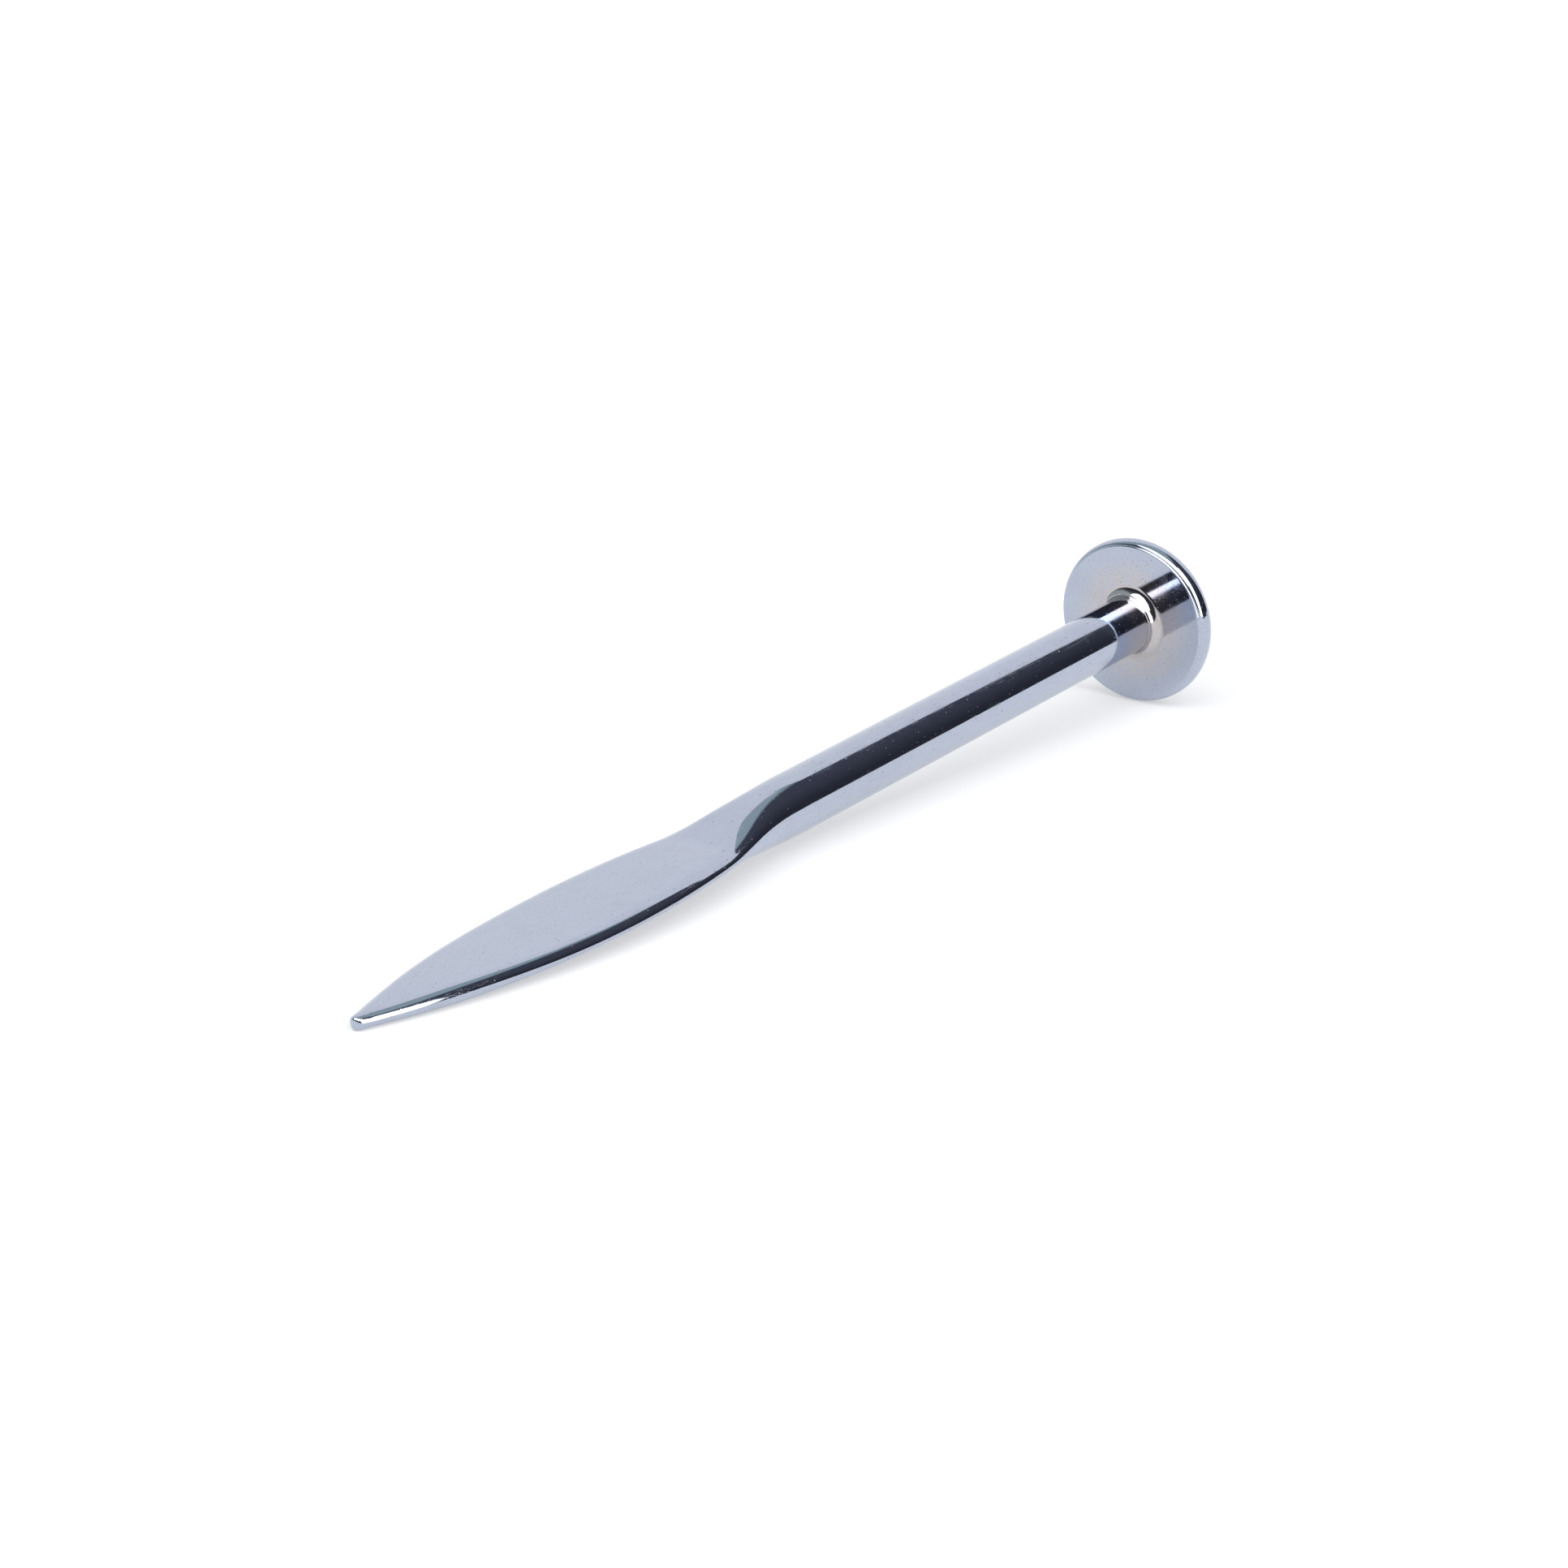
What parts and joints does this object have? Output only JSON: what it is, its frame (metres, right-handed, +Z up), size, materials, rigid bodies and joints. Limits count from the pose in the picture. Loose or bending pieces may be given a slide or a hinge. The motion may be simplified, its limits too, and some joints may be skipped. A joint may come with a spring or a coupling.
{
  "type": "pipe nail",
  "caption": "Chrome-plated hand tool: a round rod with a thin leaf-shaped scraper blade at one end and a small disc-shaped tamper head at the other.",
  "frame": {"origin": "on the table, below the middle of the bounding box of the tool as it lies", "axes": "+X runs along the tool, level, from the blade's tip to the disc; +Z is up, and the flat of the blade faces up; the rod leans 4.4 degrees, because the tool rests on the rim of its disc and the tip of its blade"},
  "size_m": [0.081, 0.0118, 0.0118],
  "materials": {
    "chrome": "bright chrome plate over steel, with fine handling scratches and small pits",
    "warm_chrome": "chrome plate over the braze, slightly yellowed and specked"
  },
  "bodies": {
    "root": {"blade_rod": "chrome", "head_disc": "chrome", "braze_fillet": "warm_chrome"}
  },
  "joints": []
}
